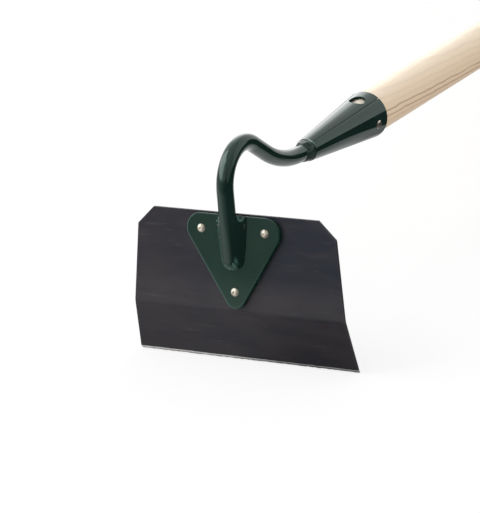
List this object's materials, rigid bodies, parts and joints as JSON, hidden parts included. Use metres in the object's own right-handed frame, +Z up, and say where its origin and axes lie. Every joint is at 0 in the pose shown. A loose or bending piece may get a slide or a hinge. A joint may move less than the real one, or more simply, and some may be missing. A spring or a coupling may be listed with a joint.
{
  "type": "garden hoe",
  "caption": "Draw hoe with a bent steel blade riveted to a swan-necked head, a rolled conical ferrule and a long round wooden handle.",
  "frame": {"origin": "middle of the bounding box's base: the hoe lies on the ground on its cutting edge and on the butt of its handle", "axes": "+X along the blade's width, +Y from the blade to the butt of the handle, +Z up"},
  "size_m": [0.178, 1.5214, 0.162],
  "materials": {
    "blued_steel": "tempered dark blue-black sheet steel with a bright ground edge",
    "green_enamel": "glossy dark green enamel",
    "rivet_steel": "bare satin steel, slightly warm",
    "pin_steel": "bare steel, dulled brown",
    "ash": "pale ash, clear satin varnish"
  },
  "bodies": {
    "root": {"blade": "blued_steel", "mounting_plate": "green_enamel", "rivet_left": "rivet_steel", "rivet_right": "rivet_steel", "rivet_tip": "rivet_steel", "swan_neck": "green_enamel", "foot_weld": "green_enamel", "ferrule": "green_enamel", "throat_weld": "green_enamel", "ferrule_rivet": "pin_steel", "handle": "ash"}
  },
  "joints": []
}
